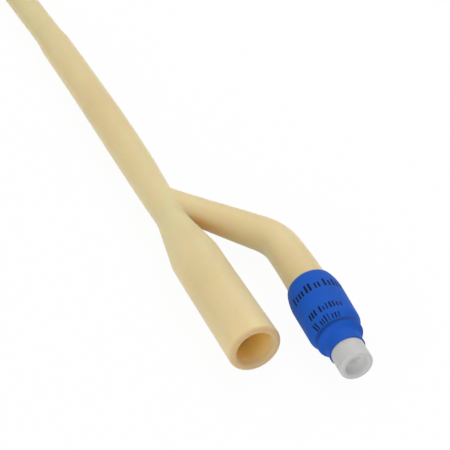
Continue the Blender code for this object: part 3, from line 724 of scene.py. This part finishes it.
# %% Spring wire
spring_wire = bpy.data.objects.new("spring_wire", frame["nodes"]["valve_spring"].data.copy())
spring_wire.data.name = "spring_wire"
bpy.context.scene.collection.objects.link(spring_wire)
edit(spring_wire)
bpy.ops.mesh.select_all(action='SELECT')
bpy.ops.mesh.remove_doubles(threshold=0.002 * MM)
bpy.ops.mesh.normals_make_consistent(inside=False)
bpy.ops.object.mode_set(mode='OBJECT')
smooth(spring_wire, 50.0)
COIL = 0.5
spring_depths = [(vertex.co - valve_mouth).dot(-valve_out) / MM for vertex in spring_wire.data.vertices]
spring_front = valve_mouth - valve_out * (min(spring_depths) + COIL) * MM
spring_back = valve_mouth - valve_out * (max(spring_depths) - COIL) * MM
print("spring lies", round(min(spring_depths), 2), "to", round(max(spring_depths), 2), "mm behind the mouth")

# %% [markdown]
# ## Materials
# One function adds a node with its settings and links, and one turns an sRGB
# hex value to the linear colour that Blender computes with.

# %% Helpers for materials
def colour(text):
    """sRGB hex to linear."""
    channels = [int(text[index:index + 2], 16) / 255.0 for index in (1, 3, 5)]
    return [value / 12.92 if value <= 0.04045 else ((value + 0.055) / 1.055) ** 2.4 for value in channels] + [1.0]


def node(tree, kind, settings=None, **inputs):
    """Add a node, set its properties, and give its inputs a value or a link."""
    added = tree.nodes.new(kind)
    for name, value in (settings or {}).items():
        setattr(added, name, value)
    for name, value in inputs.items():
        numbered = name[0] == "i" and name[1:].isdigit()
        entry = added.inputs[int(name[1:]) if numbered else name.replace("_", " ")]
        if isinstance(value, bpy.types.NodeSocket):
            tree.links.new(value, entry)
        else:
            entry.default_value = value
    return added


def blank(name):
    """A new material with only its output, and that output."""
    made = bpy.data.materials.new(name)
    made.use_nodes = True
    made.node_tree.nodes.clear()
    return made, made.node_tree, made.node_tree.nodes.new("ShaderNodeOutputMaterial")


def dress(obj, made):
    """Give an object one material in its only slot."""
    obj.data.materials.clear()
    obj.data.materials.append(made)


def draw_towards(tree, tint, mark, towards):
    """Draw a colour towards another as far as an attribute on the points says."""
    amount = node(tree, "ShaderNodeAttribute", {"attribute_name": mark})
    return node(tree, "ShaderNodeMix", {"data_type": 'RGBA'}, i0=amount.outputs["Fac"], i6=tint.outputs[2],
                i7=colour(towards))


# %% [markdown]
# ### Dipped natural latex
# Natural rubber latex, cured on a former and given a thin silicone coat. It is
# cream to amber, light scatters in it over millimetres, and its surface is
# satin with a very slight orange peel. Its colour drifts over centimetres
# where the dip was thicker. Its rim is painted darker as painted shade, the
# inside of the funnel is painted brighter as painted light that stands in for
# light through the wall, and the low corner of the fork, where the rubber is
# thick, is painted a deeper amber that is partly painted shade.

# %% Latex
def latex_material(name, pale, deep, roughness, marks=(), scatter=0.9, reach=0.005):
    """Latex whose light scatters by a share and over a reach in metres."""
    made, tree, output = blank(name)
    where = node(tree, "ShaderNodeTexCoord").outputs["Object"]
    # drift of the dip, over about 25 mm
    drift = node(tree, "ShaderNodeTexNoise", Vector=where, Scale=1.0 / 0.025, Detail=2.0, Roughness=0.45)
    blend = node(tree, "ShaderNodeMapRange", Value=drift.outputs["Fac"], From_Min=0.25, From_Max=0.75)
    tint = node(tree, "ShaderNodeMix", {"data_type": 'RGBA'}, i0=blend.outputs["Result"], i6=colour(pale),
                i7=colour(deep))
    for mark, towards in marks:
        tint = draw_towards(tree, tint, mark, towards)
    # orange peel of the cured skin, 0.9 mm across, drawn coarser than the real 0.4 mm so that it shows
    peel = node(tree, "ShaderNodeTexNoise", Vector=where, Scale=1.0 / 0.0009, Detail=2.0)
    bump = node(tree, "ShaderNodeBump", Height=peel.outputs["Fac"], Strength=0.08, Distance=0.0001)
    skin = node(tree, "ShaderNodeBsdfPrincipled", Base_Color=tint.outputs[2], Roughness=roughness, IOR=1.52,
                Subsurface_Weight=scatter, Subsurface_Radius=(1.0, 0.45, 0.15), Subsurface_Scale=reach,
                Normal=bump.outputs["Normal"])
    tree.links.new(skin.outputs["BSDF"], output.inputs["Surface"])
    return made


# the rim's colour is painted shade, the inside's is painted light, and the colour of the fork's corner is thick rubber
# with painted shade
latex = latex_material("dipped_latex", "#e2d2a4", "#dac795", 0.42,
                       (("rim", "#c8b186"), ("inside", "#f7d681"), ("pooled_shade", "#e0b87a")))
# the balloon's wall is 0.3 mm thick: light that scattered further than that would leave it blue
thin_latex = latex_material("thin_balloon_latex", "#e6d7ab", "#ddcb9d", 0.36, scatter=0.15, reach=0.0002)
dress(latex_skin, latex)
dress(balloon_skin, thin_latex)

# %% [markdown]
# ### Blue film
# A pigmented elastomer film. It is satin, and prints take on it well. The real
# print names the maker and the size. In its place there are plain rows of dark
# bars, drawn from the UV map's millimetres, so nothing can be read there.

# %% Rows of bars
ROW_REACH = 11.0
BAR_BLUR = 0.08
# depth of the row's foot, height of its tall and low bars, then (start, end, tall or not) round the sleeve
PRINT_ROWS = (
    (23.1, 2.7, 2.0, (
        (-9.2, -8.6, True), (-7.9, -7.4, False), (-6.8, -6.3, False), (-5.8, -5.3, False), (-4.5, -3.9, True),
        (-3.4, -2.8, True), (-1.8, -1.3, False), (-0.8, -0.3, False), (0.7, 1.3, True), (2.0, 2.5, False),
        (3.2, 3.8, True), (4.4, 4.9, False), (5.6, 6.2, False), (6.7, 7.1, False))),
    (15.3, 2.1, 1.5, (
        (-7.4, -6.9, True), (-6.5, -6.0, True), (-5.5, -5.0, True), (-3.9, -3.4, True), (-2.9, -2.5, False),
        (-1.9, -1.6, True), (-1.0, -0.5, True), (0.0, 0.4, True), (0.9, 1.3, False), (1.9, 2.4, False))),
    (12.2, 1.9, 1.3, (
        (-8.0, -7.5, True), (-7.1, -6.7, True), (-5.6, -5.2, False), (-4.8, -4.4, False), (-3.9, -3.5, True),
        (-2.9, -2.6, True), (-1.8, -1.4, False), (-0.9, -0.5, False), (0.1, 0.5, False))))


def bars(tree, round_it, along, foot, height, edges):
    """Ink from 0 to 1 for bars of one height: on between pairs of edges, in millimetres."""
    over = node(tree, "ShaderNodeMapRange", Value=round_it, From_Min=-ROW_REACH, From_Max=ROW_REACH)
    ramp = node(tree, "ShaderNodeValToRGB", Fac=over.outputs["Result"])
    ramp.color_ramp.interpolation = 'CONSTANT'
    ramp.color_ramp.elements[0].color = (0.0, 0.0, 0.0, 1.0)
    ramp.color_ramp.elements.remove(ramp.color_ramp.elements[1])
    for start, end in edges:
        for place, ink in ((start, 1.0), (end, 0.0)):
            stop = ramp.color_ramp.elements.new((place + ROW_REACH) / (2.0 * ROW_REACH))
            stop.color = (ink, ink, ink, 1.0)
    off_middle = node(tree, "ShaderNodeMath", {"operation": 'SUBTRACT'}, i0=along, i1=foot + height / 2)
    off_middle = node(tree, "ShaderNodeMath", {"operation": 'ABSOLUTE'}, i0=off_middle.outputs[0])
    window = node(tree, "ShaderNodeMapRange", Value=off_middle.outputs[0], From_Min=height / 2 + BAR_BLUR,
                  From_Max=height / 2 - BAR_BLUR)
    return node(tree, "ShaderNodeMath", {"operation": 'MULTIPLY'}, i0=ramp.outputs["Color"],
                i1=window.outputs["Result"])


# %% Blue film
def blue_film_material():
    made, tree, output = blank("pigmented_film")
    where = node(tree, "ShaderNodeTexCoord").outputs["Object"]
    mottle = node(tree, "ShaderNodeTexNoise", Vector=where, Scale=1.0 / 0.004, Detail=3.0)
    tint = node(tree, "ShaderNodeMix", {"data_type": 'RGBA'}, i0=mottle.outputs["Fac"], i6=colour("#1c5cc4"),
                i7=colour("#1852b2"))
    uv_map = node(tree, "ShaderNodeUVMap", {"uv_map": "unrolled"})
    unrolled = node(tree, "ShaderNodeSeparateXYZ", Vector=uv_map.outputs["UV"])
    # painted shade: the colour is darkened in the valley behind the collar, where the crease's shade falls
    from_valley = node(tree, "ShaderNodeMath", {"operation": 'SUBTRACT'}, i0=unrolled.outputs["Y"], i1=COLLAR_BACK)
    from_valley = node(tree, "ShaderNodeMath", {"operation": 'ABSOLUTE'}, i0=from_valley.outputs[0])
    valley_shade = node(tree, "ShaderNodeMapRange", {"interpolation_type": 'SMOOTHSTEP'}, Value=from_valley.outputs[0],
                      From_Min=1.3, From_Max=0.0, To_Max=0.9)
    tint = node(tree, "ShaderNodeMix", {"data_type": 'RGBA'}, i0=valley_shade.outputs["Result"], i6=tint.outputs[2],
                i7=colour("#0f3880"))
    ink = None
    for foot, tall, low, marks in PRINT_ROWS:
        for height, is_tall in ((tall, True), (low, False)):
            edges = [(start, end) for start, end, kind in marks if kind == is_tall]
            row = bars(tree, unrolled.outputs["X"], unrolled.outputs["Y"], foot, height, edges)
            if ink:
                row = node(tree, "ShaderNodeMath", {"operation": 'MAXIMUM'}, i0=ink.outputs[0], i1=row.outputs[0])
            ink = row
    tint = node(tree, "ShaderNodeMix", {"data_type": 'RGBA'}, i0=ink.outputs[0], i6=tint.outputs[2],
                i7=colour("#0d1626"))
    peel = node(tree, "ShaderNodeTexNoise", Vector=where, Scale=1.0 / 0.0008, Detail=2.0)
    bump = node(tree, "ShaderNodeBump", Height=peel.outputs["Fac"], Strength=0.10, Distance=0.0001)
    film = node(tree, "ShaderNodeBsdfPrincipled", Base_Color=tint.outputs[2], Roughness=0.6, IOR=1.50,
                Specular_IOR_Level=0.12, Normal=bump.outputs["Normal"])
    tree.links.new(film.outputs["BSDF"], output.inputs["Surface"])
    return made


dress(sleeve_film, blue_film_material())


# %% [markdown]
# ### Moulded plastics, seal rubber and spring steel
# The housing is white polypropylene, the plunger and the tail are the same
# plastic without pigment, the seal is black nitrile rubber with a matt skin,
# and the spring is drawn stainless wire.

# %% Plastics, rubber and steel
def plain_material(name, first, second, grain, roughness, ior=None, metallic=0.0, subsurface=0.0, marks=()):
    """Two close colours mottled over a grain in metres, with a fine bump."""
    made, tree, output = blank(name)
    where = node(tree, "ShaderNodeTexCoord").outputs["Object"]
    mottle = node(tree, "ShaderNodeTexNoise", Vector=where, Scale=1.0 / grain, Detail=3.0)
    tint = node(tree, "ShaderNodeMix", {"data_type": 'RGBA'}, i0=mottle.outputs["Fac"], i6=colour(first),
                i7=colour(second))
    for mark, towards in marks:
        tint = draw_towards(tree, tint, mark, towards)
    fine = node(tree, "ShaderNodeTexNoise", Vector=where, Scale=4.0 / grain, Detail=2.0)
    bump = node(tree, "ShaderNodeBump", Height=fine.outputs["Fac"], Strength=0.06, Distance=0.0001)
    shader = node(tree, "ShaderNodeBsdfPrincipled", Base_Color=tint.outputs[2], Roughness=roughness,
                  Metallic=metallic, Normal=bump.outputs["Normal"])
    if ior:
        shader.inputs["IOR"].default_value = ior
    if subsurface:
        shader.inputs["Subsurface Weight"].default_value = subsurface
        shader.inputs["Subsurface Radius"].default_value = (1.0, 0.95, 0.9)
        shader.inputs["Subsurface Scale"].default_value = 0.001
    tree.links.new(shader.outputs["BSDF"], output.inputs["Surface"])
    return made


# the socket's paler colour is painted light inside the recess
white_plastic = plain_material("white_polypropylene", "#c8c8c7", "#c2c2c1", 0.003, 0.5, 1.49, subsurface=0.8,
                               marks=(("socket", "#f6f7f7"),))
natural_plastic = plain_material("natural_polypropylene", "#d8dad6", "#cfd1cc", 0.003, 0.40, 1.49, subsurface=0.25)
seal_rubber = plain_material("nitrile_rubber", "#26262a", "#1f1f22", 0.002, 0.65, 1.52)
spring_steel = plain_material("drawn_stainless_wire", "#c4c5c8", "#b4b5b9", 0.0015, 0.28, metallic=1.0)
dress(valve_shell, white_plastic)
for name, made in (("valve_plunger", natural_plastic), ("valve_tail", natural_plastic),
                   ("valve_seal", seal_rubber), ("valve_spring", spring_steel)):
    dress(frame["nodes"][name], made)
dress(spring_wire, spring_steel)
print("materials:", len(bpy.data.materials))

# %% [markdown]
# ## Who carries what
# The skins stand in for the solids and ride on the catheter's body. The plunger
# and the seal are still the solids' own meshes, so they already ride on theirs.

# %% Bodies
for piece, replaced, slot in ((latex_skin, "catheter_body", "latex"), (balloon_skin, "balloon", "balloon_latex"),
                              (sleeve_film, "size_sleeve", "blue_film"), (valve_shell, "valve_body", "white_plastic")):
    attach(piece, "catheter")
    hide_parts(replaced)
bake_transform(spring_wire, "catheter", "plunger", start=tuple(spring_back), end=tuple(spring_front))
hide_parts("valve_spring")

# %% [markdown]
# ## Table and light
# A product shot lies on a white sweep under large soft lamps. The floor is a
# wide sheet. What the camera sees of it is mostly a plain white that no lamp
# changes, mixed with some of the real shading, so a faint shadow is left.

# %% Floor
PLAIN_WHITE = 0.955
bpy.ops.mesh.primitive_plane_add(size=6.0, location=(0.0, 0.0, -0.0002))
floor = bpy.context.object
floor.name = "floor"
bpy.ops.object.transform_apply(location=True, rotation=True, scale=True)
made, tree, output = blank("white_table")
rays = node(tree, "ShaderNodeLightPath")
seen = node(tree, "ShaderNodeMath", {"operation": 'MAXIMUM'}, i0=rays.outputs["Is Camera Ray"],
            i1=rays.outputs["Is Glossy Ray"])
seen = node(tree, "ShaderNodeMath", {"operation": 'MAXIMUM'}, i0=seen.outputs[0],
            i1=rays.outputs["Is Transmission Ray"])
share = node(tree, "ShaderNodeMath", {"operation": 'MULTIPLY'}, i0=seen.outputs[0], i1=PLAIN_WHITE)
board = node(tree, "ShaderNodeBsdfDiffuse", Color=colour("#f4f4f2"))
white = node(tree, "ShaderNodeEmission", Color=(1.0, 1.0, 1.0, 1.0), Strength=1.0)
both = node(tree, "ShaderNodeMixShader", i0=share.outputs[0], i1=board.outputs[0], i2=white.outputs[0])
tree.links.new(both.outputs[0], output.inputs["Surface"])
dress(floor, made)

# %% World
WORLD_STRENGTH = 0.62
world = bpy.data.worlds.new("studio")
world.use_nodes = True
bpy.context.scene.world = world
world.node_tree.nodes["Background"].inputs["Color"].default_value = (1.0, 1.0, 1.0, 1.0)
world.node_tree.nodes["Background"].inputs["Strength"].default_value = WORLD_STRENGTH
print("world strength", WORLD_STRENGTH)


# %% Lamps
def soft_lamp(name, place, size, power):
    """A square area lamp aimed at the fork."""
    bpy.ops.object.light_add(type='AREA', location=place)
    lamp = bpy.context.object
    lamp.name = name
    lamp.data.shape = 'SQUARE'
    lamp.data.size = size
    lamp.data.energy = power
    aim = Vector((0.0, -0.13, 0.01)) - Vector(place)
    lamp.rotation_euler = aim.to_track_quat('-Z', 'Y').to_euler()


soft_lamp("key_lamp", (0.45, 0.15, 0.9), 0.7, 4.1)
soft_lamp("fill_lamp", (-0.65, -0.85, 0.28), 0.9, 3.8)
